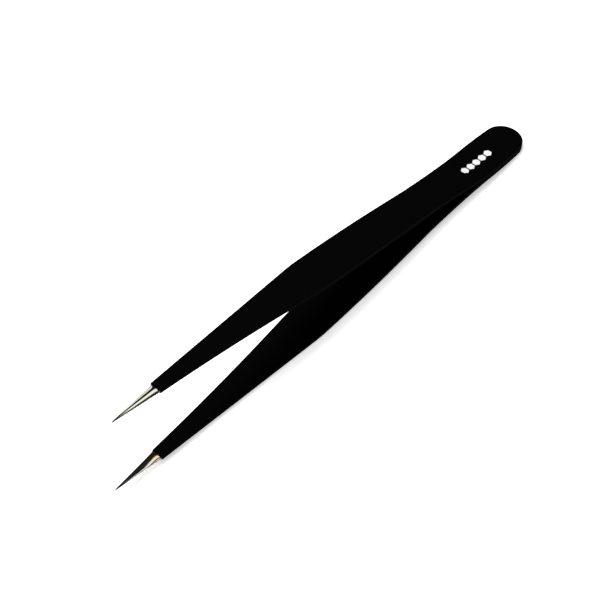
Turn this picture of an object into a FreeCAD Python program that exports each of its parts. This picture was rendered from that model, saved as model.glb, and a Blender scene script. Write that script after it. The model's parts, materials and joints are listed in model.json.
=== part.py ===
"""Precision tweezers: two coated spring-steel blades, spot-welded at the heel, with bare needle points.

Design frame: X runs from the heel (0) to the points, Y is across the blades, Z is the way the arms spread,
and z = 0 is the plane where the two blades meet. At the end the whole part is laid down as it rests on a
table: on the end of the heel and on the bow of the lower arm, with the centre of its base at the origin.
"""

import FreeCAD, Part
import math
import os
import Sketcher

from FreeCAD import Placement, Rotation, Vector

os.makedirs("parts", exist_ok=True)
doc = FreeCAD.newDocument("tweezers")

# ---------------------------------------------------------------- driving dimensions, in mm and degrees
DIMENSIONS = {
    "reach": (138.0, "heel end to points"),
    "blade_thick": (1.0, "steel strip"),
    "coat_thick": (0.15, "anti-static coat on every face"),
    "weld_zone": (14.8, "length over which the blades lie together"),
    "bend_radius": (49.0, "bend where each blade leaves the weld"),
    "splay": (7.08, "angle of the straight part of an arm to the meeting plane, degrees"),
    "bow_start": (55.3, "where the straight part ends and the long inward bow begins"),
    "bow_radius": (864.0, "radius of that bow"),
    "shoulder_at": (125.3, "where the coat ends"),
    "shoulder_thick": (0.79, "steel there"),
    "point_thick": (0.24, "steel at the very point"),
    "flexure_at": (30.0, "line about which an arm bends"),
    "flexure_slit": (0.12, "gap between root and arm at that line"),
    "heel_face_half": (2.17, "half width of the gently rounded end of the heel"),
    "heel_face_drop": (0.496, "how far that end has curved back there"),
    "heel_face_radius": (5.0, "radius of the end of the heel"),
    "heel_side_at": (4.3, "where the heel's corner becomes its side"),
    "heel_side_half": (4.65, "half width there"),
    "heel_corner_radius": (4.4, "radius of the heel's corners"),
    "swell_end": (20.0, "where the outward curve of the heel's side ends"),
    "swell_end_half": (4.82, "half width there"),
    "swell_radius": (133.7, "radius of that curve"),
    "waist_end": (38.0, "where the hollow of the waist ends"),
    "waist_end_half": (4.45, "half width there"),
    "waist_radius": (330.0, "radius of that hollow"),
    "side_radius": (950.0, "faint swell of the sides from the waist to the corner"),
    "corner_at": (76.8, "widest place of the arm, where its sides turn"),
    "corner_half": (4.93, "half width where the two sides would meet"),
    "corner_reach": (3.2, "length of the rounding on each side of that place"),
    "corner_radius": (60.0, "radius of the rounding"),
    "taper_lead": (1.3, "how much steeper than on average the taper starts"),
    "taper_radius": (1400.0, "hollow of the sides between the corner and the shoulder"),
    "shoulder_half": (1.36, "half width of the steel where the coat ends"),
    "point_half": (0.13, "half width at the very point"),
    "weld_radius": (1.3, "spot weld nugget"),
    "weld_depth": (0.45, "how far a nugget reaches into each blade"),
    "weld_first": (5.0, "first nugget from the heel end"),
    "weld_pitch": (5.0, "distance between the nuggets"),
    "mark_at": (15.8, "middle of the print along the heel"),
    "mark_aside": (0.5, "middle of the print off the heel's middle line"),
    "mark_pitch": (2.2, "distance between two signs of the print"),
    "mark_radius": (1.05, "circle round one sign"),
    "mark_thick": (0.03, "ink"),
    "spare": (3.0, "how far a cutter reaches past what it cuts"),
}
WELDS = 2
SIGNS = 5
SIGN_CORNERS = 6

sheet = doc.addObject("Spreadsheet::Sheet", "Dimensions")
for row, (alias, (value, meaning)) in enumerate(DIMENSIONS.items(), start=1):
    sheet.set(f"A{row}", meaning)
    sheet.set(f"B{row}", str(value))
    sheet.setAlias(f"B{row}", alias)
doc.recompute()


def cell(alias):
    """The name by which expressions read one driving dimension."""
    return f"Dimensions.{alias}"


def number(expression):
    """What an expression is worth now."""
    return float(sheet.evalExpression(expression))


# ---------------------------------------------------------------- the blade, as expressions
REACH, WELD, FLEXURE = cell("reach"), cell("weld_zone"), cell("flexure_at")
BOW, SHOULDER, SPLAY = cell("bow_start"), cell("shoulder_at"), f"({cell('splay')} * 1deg)"
BEND, ARC = cell("bend_radius"), cell("bow_radius")
BEND_END = f"({WELD} + {BEND} * sin({SPLAY}))"
ROOT_END = f"({FLEXURE} - {cell('flexure_slit')} / 2)"
ARM_START = f"({FLEXURE} + {cell('flexure_slit')} / 2)"


def straight_height(x):
    """Height of the inner face where it is straight."""
    return f"({BEND} * (1 - cos({SPLAY})) + ({x} - {BEND_END}) * tan({SPLAY}))"


def bow_height(x):
    """Height of the inner face on the bow: a circle that starts in line with the straight part."""
    centre_x = f"({BOW} + {ARC} * sin({SPLAY}))"
    centre_z = f"({straight_height(BOW)} - {ARC} * cos({SPLAY}))"
    return f"({centre_z} + sqrt({ARC}^2 - ({x} - {centre_x})^2))"


def loop(sketch, corners, radii):
    """Draws a closed outline and ties it to the sheet.

    corners are pairs of expressions; radii[i] is the expression of the arc from corner i to the next one,
    positive where it turns left, or None for a straight side.
    """
    places = [Vector(number(x), number(y), 0) for x, y in corners]
    first = sketch.GeometryCount
    for i, radius in enumerate(radii):
        a, b = places[i], places[(i + 1) % len(places)]
        if radius is None:
            sketch.addGeometry(Part.LineSegment(a, b), False)
            continue
        size = number(radius)
        across = Vector(a.y - b.y, b.x - a.x, 0).normalize()
        rise = math.sqrt(size ** 2 - (b - a).Length ** 2 / 4)
        centre = (a + b) / 2 + across * math.copysign(rise, size)
        middle = centre - across * size
        sketch.addGeometry(Part.Arc(a, middle, b), False)
    count = len(radii)
    ends = [ends_of(sketch, first + i, places[i]) for i in range(count)]
    for i in range(count):
        follower = (i + 1) % count
        sketch.addConstraint(
            Sketcher.Constraint("Coincident", first + i, ends[i][1], first + follower, ends[follower][0])
        )
    for i, (x, y) in enumerate(corners):
        bind(sketch, "DistanceX", first + i, ends[i][0], x)
        bind(sketch, "DistanceY", first + i, ends[i][0], y)
    for i, radius in enumerate(radii):
        if radius is not None:
            index = sketch.addConstraint(Sketcher.Constraint("Radius", first + i, abs(number(radius))))
            sketch.setExpression(f"Constraints[{index}]", f"abs({radius})")


def ends_of(sketch, index, start):
    """Which ends (1 or 2) of a drawn edge are its first and its last, given where it should start."""
    near = (sketch.getPoint(index, 1) - start).Length < (sketch.getPoint(index, 2) - start).Length
    return (1, 2) if near else (2, 1)


def bind(sketch, kind, index, end, expression):
    """Fixes one coordinate of an edge's end to an expression."""
    value = number(expression)
    constraint = sketch.addConstraint(Sketcher.Constraint(kind, -1, 1, index, end, value))
    sketch.setExpression(f"Constraints[{constraint}]", expression)


def sketch_on(body, name, role):
    """An empty sketch flat on one of the body's own origin planes."""
    sketch = body.newObject("Sketcher::SketchObject", name)
    plane = next(f for f in body.Origin.OriginFeatures if f.Role == role)
    sketch.AttachmentSupport = [(plane, "")]
    sketch.MapMode = "FlatFace"
    return sketch


def blade_body(label, side, stations, outline, grow):
    """A blade, or the outside of its coat when grow is the coat's thickness.

    side is 1 for the upper blade and -1 for the lower. stations list, from heel to point, the place, the
    inner face's height, the steel's thickness and the radius of the run that follows. outline lists, for
    one edge of the blade, the place, the half width and the radius of the run that follows.
    """
    body = doc.addObject("PartDesign::Body", label)
    profile = sketch_on(body, label + "_profile", "XZ_Plane")
    inner = [(x, f"{side} * ({z} - {grow})") for x, z, _, _ in stations]
    outer = [(x, f"{side} * ({z} + {thick} + {grow})") for x, z, thick, _ in stations]
    bends = [None if bend is None else f"{side} * {bend}" for _, _, _, bend in stations[:-1]]
    back = [None if bend is None else f"-1 * {bend}" for bend in reversed(bends)]
    loop(profile, inner + outer[::-1], bends + [None] + back + [None])
    doc.recompute()
    pad = body.newObject("PartDesign::Pad", label + "_pad")
    pad.Profile = profile
    pad.Midplane = True
    pad.setExpression("Length", f"2 * ({cell('corner_half')} + {cell('spare')})")
    doc.recompute()
    before = pad.Shape.Volume

    waste = sketch_on(body, label + "_waste", "XY_Plane")
    beyond = f"({cell('corner_half')} + 2 * {cell('spare')})"
    for mirror in (1, -1):
        edge = [(x, f"{mirror} * ({half} + {grow})") for x, half, _ in outline]
        turns = [None if turn is None else f"{mirror} * {turn}" for _, _, turn in outline[:-1]]
        far = [(outline[-1][0], f"{mirror} * {beyond}"), (outline[0][0], f"{mirror} * {beyond}")]
        loop(waste, edge + far, turns + [None, None, None])
    doc.recompute()
    pocket = body.newObject("PartDesign::Pocket", label + "_trim")
    pocket.Profile = waste
    pocket.Type = "ThroughAll"
    pocket.Midplane = True
    doc.recompute()
    if not 0 < pocket.Shape.Volume < before:
        raise RuntimeError(f"{label}: trimming its edges removed nothing")
    return body


def weld_place(count):
    """Place of a spot weld along the heel."""
    return f"{cell('weld_first')} + {count} * {cell('weld_pitch')}"


def sink_welds(body, side):
    """Opens the room that the weld nuggets fill in a blade's inner face."""
    label = body.Label
    before = body.Shape.Volume
    sketch = sketch_on(body, label + "_weld_places", "XY_Plane")
    for count in range(WELDS):
        centre = Vector(number(weld_place(count)), 0, 0)
        circle = sketch.addGeometry(Part.Circle(centre, Vector(0, 0, 1), number(cell("weld_radius"))), False)
        bind(sketch, "DistanceX", circle, 3, weld_place(count))
        sketch.addConstraint(Sketcher.Constraint("PointOnObject", circle, 3, -1))
        radius = sketch.addConstraint(Sketcher.Constraint("Radius", circle, number(cell("weld_radius"))))
        sketch.setExpression(f"Constraints[{radius}]", cell("weld_radius"))
    pocket = body.newObject("PartDesign::Pocket", label + "_weld_rooms")
    pocket.Profile = sketch
    pocket.Reversed = side > 0
    pocket.setExpression("Length", cell("weld_depth"))
    doc.recompute()
    if not 0 < pocket.Shape.Volume < before:
        raise RuntimeError(f"{label}: the weld rooms removed nothing")
    return body


def root_stations(heel):
    """The welded end of a blade: flat, bend, and the start of the straight run."""
    thick = cell("blade_thick")
    return [
        (heel, "0", thick, None),
        (WELD, "0", thick, BEND),
        (BEND_END, straight_height(BEND_END), thick, None),
        (ROOT_END, straight_height(ROOT_END), thick, None),
    ]


def arm_stations(end):
    """The free arm: straight run, bow, and where it is not cut short at the shoulder, the needle."""
    thick = cell("blade_thick")
    stations = [
        (ARM_START, straight_height(ARM_START), thick, None),
        (BOW, straight_height(BOW), thick, f"-1 * {ARC}"),
        (SHOULDER, bow_height(SHOULDER), cell("shoulder_thick"), f"-1 * {ARC}"),
        (REACH, bow_height(REACH), cell("point_thick"), None),
    ]
    return stations if end == REACH else stations[:3]


def root_outline(grow):
    """One edge of the heel: rounded end, corner, swelling side and the first half of the waist."""
    heel = f"({cell('coat_thick')} - {grow})"
    return [
        (f"-1 * {cell('spare')}", f"-1 * {grow}", None),
        (heel, f"-1 * {grow}", f"-1 * {cell('heel_face_radius')}"),
        (f"({heel} + {cell('heel_face_drop')})", cell("heel_face_half"), f"-1 * {cell('heel_corner_radius')}"),
        (cell("heel_side_at"), cell("heel_side_half"), f"-1 * {cell('swell_radius')}"),
        (cell("swell_end"), cell("swell_end_half"), cell("waist_radius")),
        (cell("waist_end"), cell("waist_end_half"), None),
    ]


def arm_outline():
    """One edge of the arm: second half of the waist, faintly swelling side, rounded corner, taper, needle."""
    rise = f"({cell('corner_half')} - {cell('waist_end_half')}) / ({cell('corner_at')} - {cell('waist_end')})"
    taper = f"({cell('corner_half')} - {cell('shoulder_half')}) / ({SHOULDER} - {cell('corner_at')})"
    taper_start = f"{cell('taper_lead')} * {taper}"
    near, far = (f"({cell('corner_at')} {sign} {cell('corner_reach')})" for sign in "-+")
    return [
        (cell("swell_end"), cell("swell_end_half"), cell("waist_radius")),
        (cell("waist_end"), cell("waist_end_half"), f"-1 * {cell('side_radius')}"),
        (near, f"({cell('corner_half')} - {cell('corner_reach')} * {rise})", f"-1 * {cell('corner_radius')}"),
        (far, f"({cell('corner_half')} - {cell('corner_reach')} * {taper_start})", cell("taper_radius")),
        (SHOULDER, cell("shoulder_half"), None),
        (f"({REACH} + {cell('coat_thick')})", cell("point_half"), None),
    ]


def cut(label, base, tool):
    """base less tool, as one object of the document."""
    result = doc.addObject("Part::Cut", label)
    result.Base = base
    result.Tool = tool
    return result


def fuse(label, pieces):
    """Several shapes joined into one."""
    result = doc.addObject("Part::MultiFuse", label)
    result.Shapes = pieces
    return result


# ---------------------------------------------------------------- steel
SIDES = {"upper": 1, "lower": -1}
COAT = cell("coat_thick")
roots = {}
for name, side in SIDES.items():
    root = blade_body(f"{name}_blade_root", side, root_stations(COAT), root_outline("0"), "0")
    roots[name] = sink_welds(root, side)
arms = {name: blade_body(f"{name}_blade", side, arm_stations(REACH), arm_outline(), "0")
        for name, side in SIDES.items()}

# ---------------------------------------------------------------- spot welds
nuggets = []
for count in range(WELDS):
    nugget = doc.addObject("Part::Cylinder", f"nugget_{count + 1}")
    nugget.setExpression("Radius", cell("weld_radius"))
    nugget.setExpression("Height", f"2 * {cell('weld_depth')}")
    nugget.Placement.Base = Vector(number(weld_place(count)), 0, -number(cell("weld_depth")))
    nuggets.append(nugget)
welds = doc.addObject("Part::Compound", "weld_nuggets")
welds.Links = nuggets

# ---------------------------------------------------------------- coat
skins = {name: blade_body(f"{name}_heel_outside", side, root_stations("0"), root_outline(COAT), COAT)
         for name, side in SIDES.items()}
heel_steel = fuse("heel_steel", [roots["upper"], roots["lower"], *nuggets])
heel_coat = cut("heel_coat", fuse("heel_outside", list(skins.values())), heel_steel)
arm_coats = []
for name, side in SIDES.items():
    outside = blade_body(f"{name}_arm_outside", side, arm_stations(SHOULDER), arm_outline(), COAT)
    arm_coats.append(cut(f"{name}_arm_coat", outside, arms[name]))

# ---------------------------------------------------------------- print on the upper face of the heel
INK = f"({COAT} + {cell('mark_thick')})"
corner_aside = Rotation(Vector(0, 0, 1), 180 / SIGN_CORNERS)
signs = []
for count in range(SIGNS):
    sign = doc.addObject("Part::Prism", f"sign_{count + 1}")
    sign.Polygon = SIGN_CORNERS
    sign.setExpression("Circumradius", cell("mark_radius"))
    sign.setExpression("Height", cell("spare"))
    place = number(f"{cell('mark_at')} + {count - SIGNS // 2} * {cell('mark_pitch')}")
    base = Vector(place, number(cell("mark_aside")), number(cell("blade_thick")) / 2)
    sign.Placement = Placement(base, corner_aside)
    signs.append(sign)
ink_outside = blade_body("ink_outside", 1, root_stations("0"), root_outline(INK), INK)
ink = cut("ink", ink_outside, skins["upper"])
mark = doc.addObject("Part::Common", "printed_mark")
mark.Base = fuse("signs", signs)
mark.Tool = ink
doc.recompute()

# ---------------------------------------------------------------- laying the part down
nodes = [*roots.values(), *arms.values(), welds, heel_coat, *arm_coats, mark]


def lowest(piece, tilt):
    """How low a piece reaches once the points have been tilted up by so many degrees."""
    shape = piece.Shape.copy()
    shape.transformShape(Placement(Vector(), Rotation(Vector(0, 1, 0), -tilt)).toMatrix())
    return shape.optimalBoundingBox(False).ZMin


def resting_tilt():
    """The tilt at which the heel's end and the bow of the lower arm reach equally low."""
    flat, steep = 0.0, number(cell("splay"))
    while steep - flat > 0.0005:
        middle = (flat + steep) / 2
        if lowest(arm_coats[1], middle) < lowest(heel_coat, middle):
            flat = middle
        else:
            steep = middle
    return (flat + steep) / 2


tilt = resting_tilt()
turned = Part.makeCompound([node.Shape for node in nodes])
turned.transformShape(Placement(Vector(), Rotation(Vector(0, 1, 0), -tilt)).toMatrix())
box = turned.optimalBoundingBox(False)
rest = Placement(Vector(-box.Center.x, -box.Center.y, -box.ZMin), Rotation(Vector(0, 1, 0), -tilt))
for body in doc.findObjects("PartDesign::Body"):
    body.Placement = rest
for loose in [*nuggets, *signs]:
    loose.Placement = rest * loose.Placement
doc.recompute()

# ---------------------------------------------------------------- checking and writing
for item in doc.Objects:
    if "Invalid" in item.State or "Error" in item.State:
        raise RuntimeError(f"{item.Label} did not compute")
for node in nodes:
    if node.Shape.isNull() or not node.Shape.isValid():
        raise RuntimeError(f"{node.Label} has no sound shape")
    node.Shape.exportStep(f"parts/{node.Label}.step")
    size = node.Shape.optimalBoundingBox(False)
    print(f"{node.Label:18s} solids {len(node.Shape.Solids)} volume {node.Shape.Volume:9.3f}"
          f"  x {size.XMin:8.3f} {size.XMax:8.3f}  y {size.YMin:7.3f} {size.YMax:7.3f}"
          f"  z {size.ZMin:7.3f} {size.ZMax:7.3f}")
print("tilt", round(tilt, 4), "rest", rest)
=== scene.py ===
"""Precision tweezers lying on a white table: black coated arms, polished needle points, a small white print.

Lengths inside the shape functions are millimetres in the tweezers' own frame: x from the heel's end to the
points, y across the blades, z from the plane where the blades meet. laid_down() turns such points into the
frame's metres. Side is 1 for the upper arm and -1 for the lower one.
"""

import json
import math

import bpy
import numpy as np
from mathutils import Matrix, Vector


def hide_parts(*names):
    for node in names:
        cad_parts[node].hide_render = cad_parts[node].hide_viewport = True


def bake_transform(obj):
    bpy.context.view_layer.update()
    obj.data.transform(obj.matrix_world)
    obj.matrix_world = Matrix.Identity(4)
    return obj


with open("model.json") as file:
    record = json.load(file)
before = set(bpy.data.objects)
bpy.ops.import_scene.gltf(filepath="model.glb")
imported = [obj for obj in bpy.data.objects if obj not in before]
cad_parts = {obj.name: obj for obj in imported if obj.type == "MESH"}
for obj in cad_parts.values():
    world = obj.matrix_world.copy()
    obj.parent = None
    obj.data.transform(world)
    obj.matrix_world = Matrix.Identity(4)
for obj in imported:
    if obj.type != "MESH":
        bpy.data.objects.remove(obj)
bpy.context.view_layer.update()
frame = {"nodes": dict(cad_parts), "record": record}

MM = 0.001

# ------------------------------------------------------------------ the tweezers' own measures, in mm
REACH = 138.0
STRIP = 1.0
COAT = 0.15
WELD_ZONE = 14.8
BEND_RADIUS = 49.0
SPLAY = math.radians(7.08)
BOW_START = 55.3
BOW_RADIUS = 864.0
SHOULDER = 125.3
SHOULDER_THICK = 0.79
POINT_THICK = 0.24
CORNER = 76.8
BEND_FROM, BEND_TO = 17.0, 43.0  # the length over which an arm bends when it is squeezed
SKIN_INSIDE = 0.004  # how far the coat's faces lie inside the CAD's, so that its box does too
MARK_AT, MARK_ASIDE, MARK_PITCH, MARK_RADIUS = 15.8, 0.5, 2.2, 1.05
INK, INK_SUNK = 0.03, 0.02
SIDES = {"upper": 1, "lower": -1}

# the heel's flat mount says how the tweezers lie: its middle and its outward direction
HEEL_FLAT = next(m for m in frame["record"]["mounts"] if m["name"] == "heel_flat")
HEEL_FLAT_PLACE = Vector((WELD_ZONE / 2, 0.0, -STRIP - COAT))
TILT = math.atan2(HEEL_FLAT["axis"][0], -HEEL_FLAT["axis"][2])
TURN = Matrix.Rotation(-TILT, 3, "Y")
SHIFT = Vector(HEEL_FLAT["pos_m"]) - TURN @ (HEEL_FLAT_PLACE * MM)


def laid_down(points):
    """Points of the tweezers' own frame, in mm, turned and shifted to where they lie, in metres."""
    return np.asarray(points, float) * MM @ np.array(TURN).T + np.array(SHIFT)


# ------------------------------------------------------------------ shape of a blade
def inner_height(x):
    """Inner face over the meeting plane: flat weld, arc outwards, straight run, wide arc back inwards."""
    x = np.asarray(x, float)
    bend_end = WELD_ZONE + BEND_RADIUS * math.sin(SPLAY)
    straight = BEND_RADIUS * (1 - math.cos(SPLAY)) + (x - bend_end) * math.tan(SPLAY)
    into_bend = np.clip(x - WELD_ZONE, 0, bend_end - WELD_ZONE)
    bend = BEND_RADIUS - np.sqrt(BEND_RADIUS**2 - into_bend**2)
    centre = BOW_START + BOW_RADIUS * math.sin(SPLAY)
    along = np.maximum(x, BOW_START) - centre
    first = BOW_START - centre
    bow = np.sqrt(BOW_RADIUS**2 - along**2) - math.sqrt(BOW_RADIUS**2 - first**2)
    at_bow = BEND_RADIUS * (1 - math.cos(SPLAY)) + (BOW_START - bend_end) * math.tan(SPLAY)
    return np.where(x < bend_end, bend, np.where(x < BOW_START, straight, at_bow + bow))


def thickness(x):
    """Full strip to the bow, then thinner in a straight line to the shoulder, then faster to the point."""
    return np.interp(x, [BOW_START, SHOULDER, REACH], [STRIP, SHOULDER_THICK, POINT_THICK])


def arc_between(a, b, radius, count):
    """Points on the circular arc from a to b; the arc turns right as it goes when radius is positive."""
    a, b = np.array(a), np.array(b)
    chord = b - a
    length = np.hypot(*chord)
    if radius is None:
        return a + np.linspace(0, 1, count)[:, None] * chord
    half = math.asin(length / 2 / abs(radius))
    normal = np.array([chord[1], -chord[0]]) / length * math.copysign(1, radius)
    centre = (a + b) / 2 + normal * abs(radius) * math.cos(half)
    start = math.atan2(*(a - centre)[::-1])
    angles = start - math.copysign(1, radius) * np.linspace(0, 2 * half, count)
    return centre + abs(radius) * np.stack([np.cos(angles), np.sin(angles)], 1)


# one edge of the steel: place, half width, and the radius of the run that follows, None where it is straight
OUTLINE = [
    (COAT, 0.0, 5.0, 16),
    (COAT + 0.496, 2.17, 4.4, 18),
    (4.3, 4.65, 133.7, 12),
    (20.0, 4.82, -330.0, 20),
    (38.0, 4.45, 950.0, 30),
    (CORNER - 3.2, 4.8904, 60.0, 10),
    (CORNER + 3.2, 4.6238, -1400.0, 46),
    (SHOULDER, 1.36, None, 24),
    (REACH, 0.13, None, 0),
]


def outline_points():
    """The whole edge from the middle of the heel's end to the point, as one list without doubled corners."""
    runs = [
        arc_between(a[:2], b[:2], a[2], a[3] + 1)[:-1]
        for a, b in zip(OUTLINE, OUTLINE[1:])
    ]
    return np.vstack([*runs, [OUTLINE[-1][:2]]])


EDGE = outline_points()


def inward(points):
    """The unit direction across each point of an edge towards the blade's middle: its run turned right."""
    along = np.gradient(points, axis=0)
    along[0] = (0.0, 1.0)
    along /= np.hypot(*along.T)[:, None]
    return np.stack([along[:, 1], -along[:, 0]], 1)


def ring_plan():
    """Once round a section of a blade: for each place, how far across (1 to -1), whether it hangs from the
    outer or stands on the inner face, and the angle on that face's rounded edge, 90 degrees on the flat."""
    flat = np.sin(np.radians([-90, -84, -66, -40, -14, 14, 40, 66, 84, 90]))[::-1]
    turn = np.radians(np.linspace(90, 0, 8))[1:]
    upright = np.full(10, math.pi / 2)
    across = [flat, -np.ones(7), -np.ones(7), -flat, np.ones(7), np.ones(7)]
    outer = [np.ones(10), np.ones(7), np.zeros(7), np.zeros(10), np.zeros(7), np.ones(7)]
    angle = [upright, turn, turn[::-1], upright, turn, turn[::-1]]
    return np.concatenate(across), np.concatenate(outer), np.concatenate(angle)


def flat(x, across):
    """No rise or hollow anywhere."""
    return np.zeros_like(across)


def strip_rings(edge, grow, outer_round, inner_round, outer_sink=flat, inner_sink=flat):
    """Rings round a blade along its edge, each as ring_plan() says. On a flat face a ring crosses from edge to
    edge, and on a rounded edge it goes in by round * (1 - cos) and down by round * (1 - sin). grow thickens
    every face; the rounds are pairs of across and down, in mm, as functions of x. The sinks lower each face
    towards the steel's middle, as functions of x and of the place across, -1 to 1."""
    across, outer, angle = ring_plan()
    grow = np.broadcast_to(grow, len(edge))[:, None]
    normal = inward(edge)
    start = edge - grow * normal
    x0 = edge[:, :1]
    reach_in = np.where(outer, outer_round(x0)[0], inner_round(x0)[0]) * (1 - np.cos(angle))
    drop = np.where(outer, outer_round(x0)[1], inner_round(x0)[1]) * (1 - np.sin(angle))
    x = start[:, :1] + reach_in * normal[:, :1]
    y = across * (start[:, 1:] + reach_in * normal[:, 1:])
    place = np.clip(y / np.maximum(start[:, 1:], 0.01), -1, 1)
    low = inner_height(x) - grow
    high = inner_height(x) + thickness(x) + grow
    z = np.where(outer, high - drop - outer_sink(x, place), low + drop + inner_sink(x, place))
    return np.stack([x, y, z], 2)


def skin(name, rings, side, marks):
    """A closed mesh through rings of equal count: quads between rings and a fan at each end. marks are
    named arrays with a number for each point of the rings, which the materials read."""
    rows, count = rings.shape[:2]
    rings = rings * np.array([1, 1, side])
    ends = np.stack([rings[0].mean(0), rings[-1].mean(0)])
    points = laid_down(np.vstack([rings.reshape(-1, 3), ends]))
    i, j = np.meshgrid(np.arange(rows - 1), np.arange(count), indexing="ij")
    k = (j + 1) % count
    quads = np.stack([i * count + j, i * count + k, (i + 1) * count + k, (i + 1) * count + j], -1)
    j = np.arange(count)
    k = (j + 1) % count
    final = (rows - 1) * count
    first = np.stack([k, j, np.full(count, rows * count)], -1)
    last = np.stack([final + j, final + k, np.full(count, rows * count + 1)], -1)
    faces = [*quads.reshape(-1, 4).tolist(), *first.tolist(), *last.tolist()]
    if side > 0:
        faces = [face[::-1] for face in faces]
    mesh = bpy.data.meshes.new(name)
    mesh.from_pydata(points.tolist(), [], faces)
    for mark, amount in marks.items():
        layer = mesh.attributes.new(mark, "FLOAT", "POINT")
        layer.data.foreach_set("value", np.append(amount.ravel(), [0, 0]).astype(np.float32))
    mesh.update()
    mesh.shade_smooth()
    piece = bpy.data.objects.new(name, mesh)
    bpy.context.scene.collection.objects.link(piece)
    return piece


def bend_with(piece, arm):
    """Bakes the piece's placement into its mesh. The ends of the arm's flexure are worked out but not used, so
    the piece does not bend with the arm.
    """
    side = SIDES[arm]
    start, end = (laid_down([x, 0, side * float(inner_height(x))]) for x in (BEND_FROM, BEND_TO))
    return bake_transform(piece)


# ------------------------------------------------------------------ pieces
def half_width(x):
    """Half the steel's width at x."""
    return np.interp(x, EDGE[:, 0], EDGE[:, 1])


def ease(value, start, end):
    """0 before start, 1 after end, and 3 t^2 - 2 t^3 between."""
    t = np.clip((value - start) / (end - start), 0, 1)
    return t * t * (3 - 2 * t)


def needle(x):
    """0 under the coat, 1 on the bare needle, and a short run between."""
    return ease(x, SHOULDER - 0.8, SHOULDER + 0.6)


def steel_blade(arm):
    """One whole blade: a flat strip with broken edges. Its needle is crowned on the outside, by 0.2 of its
    half width times the square of the place across, with wide rounded edges. Inside, one half falls away next
    to the coat, by 0.16 of the half width times the place to the power 1.6, and all along the needle both
    edges do, by 0.05 of it times the sixth power."""
    edge = EDGE[EDGE[:, 0] < REACH - 0.2]
    edge = np.vstack([edge, [REACH - 0.15, 0.14], [REACH, 0.01]])

    def broken(x):
        half = half_width(x)
        return np.minimum(0.08, 0.4 * half), np.minimum(0.07, 0.3 * thickness(x))

    def rounded(x):
        part, (reach, drop) = needle(x), broken(x)
        return reach + part * (0.42 * half_width(x) - reach), drop + part * (0.4 * thickness(x) - drop)

    def crown(x, place):
        return 0.2 * half_width(x) * place**2 * needle(x)

    def eased(x, place):
        by_coat = 0.16 * np.maximum(place, 0) ** 1.6 * (1 - ease(x, SHOULDER, SHOULDER + 5.5))
        return half_width(x) * needle(x) * (by_coat + 0.05 * place**6)

    rings = strip_rings(edge, 0.0, rounded, broken, crown, eased)
    _, outer, angle = ring_plan()
    x = edge[:, :1]
    # the dark mark is painted shade on the needle's side walls, standing in for the dark reflections they
    # show; it also darkens the last few mm towards the point
    wall = np.clip((0.6 - angle) / 0.4, 0, 1) * needle(x)
    by_coat = 1 - ease(x, SHOULDER, SHOULDER + 4.0)
    aside = rings[:, :, 1] / half_width(x)
    marks = {
        "dark": np.maximum(wall, ease(x, REACH - 5.0, REACH - 1.5)),
        "straw": (1 - outer) * by_coat * (0.7 - 0.4 * aside),
    }
    piece = skin(f"{arm}_steel_blade", rings, SIDES[arm], marks)
    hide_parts(f"{arm}_blade_root", f"{arm}_blade")
    piece.data.materials.append(polished_steel())
    return bend_with(piece, arm)


def coat_skin(arm):
    """The coat of one arm and of its half of the heel, ending in a thin uneven lip round the needle."""
    lip = 0.3
    edge = EDGE[EDGE[:, 0] < SHOULDER - lip - 0.1]
    last = SHOULDER - lip + lip * np.sin(np.radians(np.linspace(0, 90, 7)))
    edge = np.vstack([edge, np.stack([last, half_width(last)], 1)])
    grow = np.full(len(edge), COAT - SKIN_INSIDE)
    grow[-7:] = 0.012 + (COAT - 0.012) * np.cos(np.radians(np.linspace(0, 90, 7)))

    def outer(x):
        return np.full_like(x, 0.26), np.full_like(x, 0.24)

    def inner(x):
        return np.full_like(x, 0.14), np.full_like(x, 0.12)

    rings = strip_rings(edge, grow, outer, inner)
    around = np.linspace(0, 2 * math.pi, rings.shape[1], endpoint=False)
    wave = 0.10 * np.sin(around * 2 + SIDES[arm]) + 0.05 * np.sin(around * 5 + 1.0)
    wave += 0.03 * np.sin(around * 9)
    near_end = np.clip((rings[:, :, 0] - SHOULDER + 3.0) / 3.0, 0, 1) ** 2
    rings[:, :, 0] += wave * near_end
    angle = ring_plan()[2]
    rim = np.where((angle > 0.2) & (angle < 1.3), 1.0, 0.0) * np.ones_like(rings[:, :, 0])
    piece = skin(f"{arm}_coat", rings, SIDES[arm], {"rim": rim})
    nodes = [f"{arm}_arm_coat"] + (["heel_coat"] if arm == "upper" else [])
    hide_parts(*nodes)
    piece.data.materials.append(black_coat())
    return bend_with(piece, arm)


# ------------------------------------------------------------------ materials
class Value:
    """A number that varies over a surface. Python's operators on it add Math nodes."""

    def __init__(self, shader, socket):
        self.shader, self.socket = shader, socket

    def maths(self, operation, first, second):
        return self.shader.add("Math", {"operation": operation}, {0: first, 1: second})

    def __add__(self, other):
        return self.maths("ADD", self, other)

    def __radd__(self, other):
        return self.maths("ADD", other, self)

    def __sub__(self, other):
        return self.maths("SUBTRACT", self, other)

    def __rsub__(self, other):
        return self.maths("SUBTRACT", other, self)

    def __mul__(self, other):
        return self.maths("MULTIPLY", self, other)

    def __rmul__(self, other):
        return self.maths("MULTIPLY", other, self)


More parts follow.
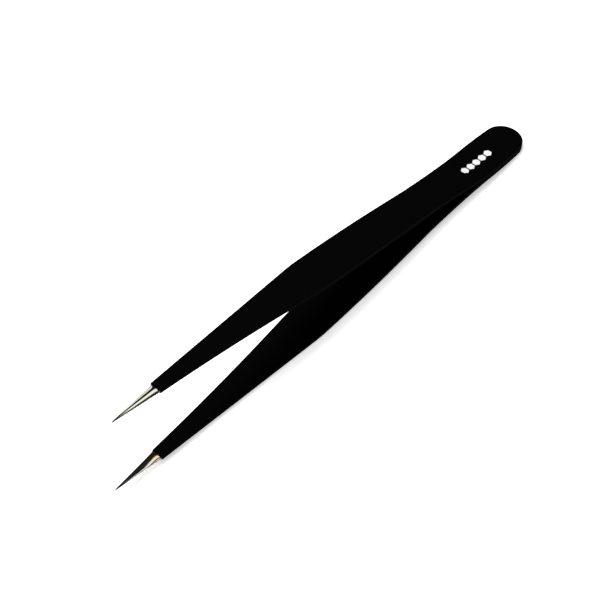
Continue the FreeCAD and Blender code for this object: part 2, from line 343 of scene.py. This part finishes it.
class Shader:
    """A material under construction: one Principled surface and the nodes that feed it."""

    def __init__(self, name):
        self.material = bpy.data.materials.new(name)
        self.material.use_nodes = True
        self.tree = self.material.node_tree
        self.surface = self.tree.nodes["Principled BSDF"]

    def add(self, kind, settings=None, inputs=None, output=0):
        """A new node: its settings first, then its inputs' values or links. Returns one of its outputs."""
        node = self.tree.nodes.new("ShaderNode" + kind)
        for key, value in (settings or {}).items():
            setattr(node, key, value)
        for key, value in (inputs or {}).items():
            self.feed(node.inputs[key], value)
        return Value(self, node.outputs[output])

    def feed(self, socket, value):
        if isinstance(value, Value):
            self.tree.links.new(value.socket, socket)
        else:
            socket.default_value = value

    def set(self, **inputs):
        """Sets or links the surface's own sockets; a name's underscores stand for its spaces."""
        for key, value in inputs.items():
            self.feed(self.surface.inputs[key.replace("_", " ")], value)

    def place(self, stretch=(1.0, 1.0, 1.0)):
        """Object coordinates in millimetres, squeezed or stretched along each axis."""
        where = self.add("TexCoord", output=3)
        scale = tuple(1000.0 * s for s in stretch)
        return self.add("Mapping", {}, {"Vector": where, "Scale": scale})

    def noise(self, where, scale, detail=3.0, rough=0.5):
        inputs = {"Vector": where, "Scale": scale, "Detail": detail, "Roughness": rough}
        return self.add("TexNoise", {}, inputs)

    def mixed(self, amount, first, second):
        """A colour part of the way from the first to the second; each is a link or four numbers."""
        return self.add("Mix", {"data_type": "RGBA"}, {0: amount, 6: first, 7: second}, output=2)

    def between(self, amount, dark, light):
        """A colour part of the way from dark to light, each of three numbers."""
        return self.mixed(amount, (*dark, 1), (*light, 1))

    def bump(self, height, strength, distance):
        return self.add("Bump", {}, {"Height": height, "Strength": strength, "Distance": distance})


def once(build):
    """Builds a material the first time it is asked for and hands out the same one afterwards."""
    made = []

    def give():
        if not made:
            made.append(build())
        return made[0]

    return give


@once
def black_coat():
    """Sprayed anti-static coat: near black, satin, with a fine grain, cloudy gloss and rubbed rims."""
    shader = Shader("black_coat")
    where = shader.place()
    grain = shader.noise(where, 4.0, 4.0, 0.6)
    cloud = shader.noise(where, 0.12, 2.0)
    rim = shader.add("Attribute", {"attribute_name": "rim"}, output=2)
    patches = shader.noise(where, 0.5, 4.0, 0.7)
    rubbed = shader.add("MapRange", {}, {"Value": patches, 1: 0.5, 2: 0.72}) * rim
    shade = rubbed * 0.6 + grain * 0.3
    shader.set(
        Base_Color=shader.between(shade, (0.0010, 0.0010, 0.0011), (0.0045, 0.0044, 0.0042)),
        Roughness=0.40 + 0.14 * cloud + 0.06 * grain - 0.06 * rubbed,
        Normal=shader.bump(grain, 0.25, 0.00002),
        Specular_IOR_Level=0.002,
    )
    return shader.material


@once
def polished_steel():
    """Ground and polished stainless steel: lengthwise hairlines, streaky gloss, a straw heat stain on the
    inside by the coat, painted shade on the needle's side walls and a darker point."""
    shader = Shader("polished_steel")
    long = shader.place((0.02, 1.0, 1.0))
    lines = shader.noise(long, 22.0, 3.0, 0.6)
    streaks = shader.noise(long, 3.0, 2.0)
    straw = shader.add("Attribute", {"attribute_name": "straw"}, output=2)
    # dark: painted shade on the needle's side walls, and darker towards the point
    dark = shader.add("Attribute", {"attribute_name": "dark"}, output=2)
    stain = straw * (0.55 + 0.9 * shader.noise(shader.place(), 0.9, 3.0))
    clean = shader.between(streaks, (0.60, 0.58, 0.51), (0.80, 0.78, 0.70))
    tinted = shader.mixed(stain, clean, (0.82, 0.54, 0.24, 1))
    shader.set(
        Base_Color=shader.mixed(dark, tinted, (0.07, 0.066, 0.06, 1)),
        Metallic=1.0,
        Roughness=0.05 + 0.07 * streaks + 0.12 * dark,
        Normal=shader.bump(lines, 0.10, 0.000008),
    )
    return shader.material


@once
def white_ink():
    """Pad-printed white ink, a little thin in places."""
    shader = Shader("white_ink")
    where = shader.place()
    cover = shader.noise(where, 3.0, 4.0, 0.6)
    shader.set(
        Base_Color=shader.between(cover, (0.66, 0.66, 0.65), (0.92, 0.92, 0.91)),
        Roughness=0.5 + 0.2 * cover,
        Normal=shader.bump(cover, 0.2, 0.00001),
    )
    return shader.material


@once
def white_table():
    """A plain white table top with a barely uneven sheen."""
    shader = Shader("white_table")
    where = shader.place()
    shader.set(
        Base_Color=(0.9, 0.9, 0.9, 1),
        Roughness=0.7 + 0.1 * shader.noise(where, 0.02, 2.0),
        Specular_IOR_Level=0.1,
        Emission_Color=(1, 1, 1, 1),
        Emission_Strength=0.55,
    )
    return shader.material


# ------------------------------------------------------------------ print
def print_signs():
    """Five plain hexagons in a row, raised by the ink's thickness."""
    signs, corners = 5, 6
    angles = 2 * math.pi * (np.arange(corners) + 0.5) / corners
    points, faces = [], []
    for count in range(signs):
        x = MARK_AT + (count - signs // 2) * MARK_PITCH + MARK_RADIUS * np.cos(angles)
        y = MARK_ASIDE + MARK_RADIUS * np.sin(angles)
        top = inner_height(x) + STRIP + COAT
        first = 2 * corners * count
        points.append(np.stack([x, y, top - INK_SUNK], 1))
        points.append(np.stack([x, y, top + INK], 1))
        low = list(range(first, first + corners))
        high = list(range(first + corners, first + 2 * corners))
        faces += [low[::-1], high]
        faces += [[low[i], low[(i + 1) % corners], high[(i + 1) % corners], high[i]] for i in range(corners)]
    mesh = bpy.data.meshes.new("print_signs")
    mesh.from_pydata(laid_down(np.vstack(points)).tolist(), [], faces)
    piece = bpy.data.objects.new("print_signs", mesh)
    bpy.context.scene.collection.objects.link(piece)
    piece.data.materials.append(white_ink())
    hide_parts("printed_mark")
    return bend_with(piece, "upper")


for arm in SIDES:
    steel_blade(arm)
    coat_skin(arm)
print_signs()
welds = frame["nodes"]["weld_nuggets"]
welds.data.materials.clear()
welds.data.materials.append(polished_steel())


# ------------------------------------------------------------------ table, lights and camera
def table():
    """A wide flat square under the tweezers."""
    half = 1.5
    mesh = bpy.data.meshes.new("table")
    corners = [(-half, -half, 0), (half, -half, 0), (half, half, 0), (-half, half, 0)]
    mesh.from_pydata(corners, [], [(0, 1, 2, 3)])
    piece = bpy.data.objects.new("table", mesh)
    bpy.context.scene.collection.objects.link(piece)
    piece.data.materials.append(white_table())


def direction(azimuth, elevation):
    """The unit vector towards a compass direction and height, both in degrees."""
    a, e = math.radians(azimuth), math.radians(elevation)
    return Vector((math.cos(e) * math.cos(a), math.cos(e) * math.sin(a), math.sin(e)))


def softbox(name, azimuth, elevation, distance, size, watts):
    """A square lamp that faces the tweezers."""
    lamp = bpy.data.lights.new(name, "AREA")
    lamp.size = size
    lamp.energy = watts
    piece = bpy.data.objects.new(name, lamp)
    towards = direction(azimuth, elevation)
    piece.location = towards * distance
    piece.rotation_euler = towards.to_track_quat("Z", "Y").to_euler()
    bpy.context.scene.collection.objects.link(piece)


def camera():
    """Looks down on the tweezers from beyond their points' right side, with the heel away from it."""
    azimuth, elevation, roll, distance = 43.2222, 50.2155, -2.6920, 0.471367
    aim = Vector((0.0081215, -0.0012705, 0.0080683))
    lens = bpy.data.cameras.new("camera")
    lens.lens, lens.sensor_width = 126.498, 36.0
    lens.clip_start = 0.01
    piece = bpy.data.objects.new("camera", lens)
    towards = direction(azimuth, elevation)
    piece.location = aim + towards * distance
    flat = towards.to_track_quat("Z", "Y").to_matrix()
    piece.rotation_euler = (flat @ Matrix.Rotation(math.radians(roll), 3, "Z")).to_euler()
    bpy.context.scene.collection.objects.link(piece)
    bpy.context.scene.camera = piece


table()
softbox("key", 303.0, 74.0, 0.9, 0.45, 9.0)
softbox("front", 10.0, 40.0, 1.0, 0.8, 2.5)
softbox("over", 190.0, 68.0, 0.9, 0.52, 1.0)
softbox("side", 236.0, 28.0, 0.9, 0.38, 0.5)
camera()

world = bpy.data.worlds.new("room")
world.use_nodes = True
world.node_tree.nodes["Background"].inputs["Color"].default_value = (0.9, 0.92, 0.95, 1)
world.node_tree.nodes["Background"].inputs["Strength"].default_value = 0.015
bpy.context.scene.world = world
bpy.context.scene.view_settings.view_transform = "Standard"
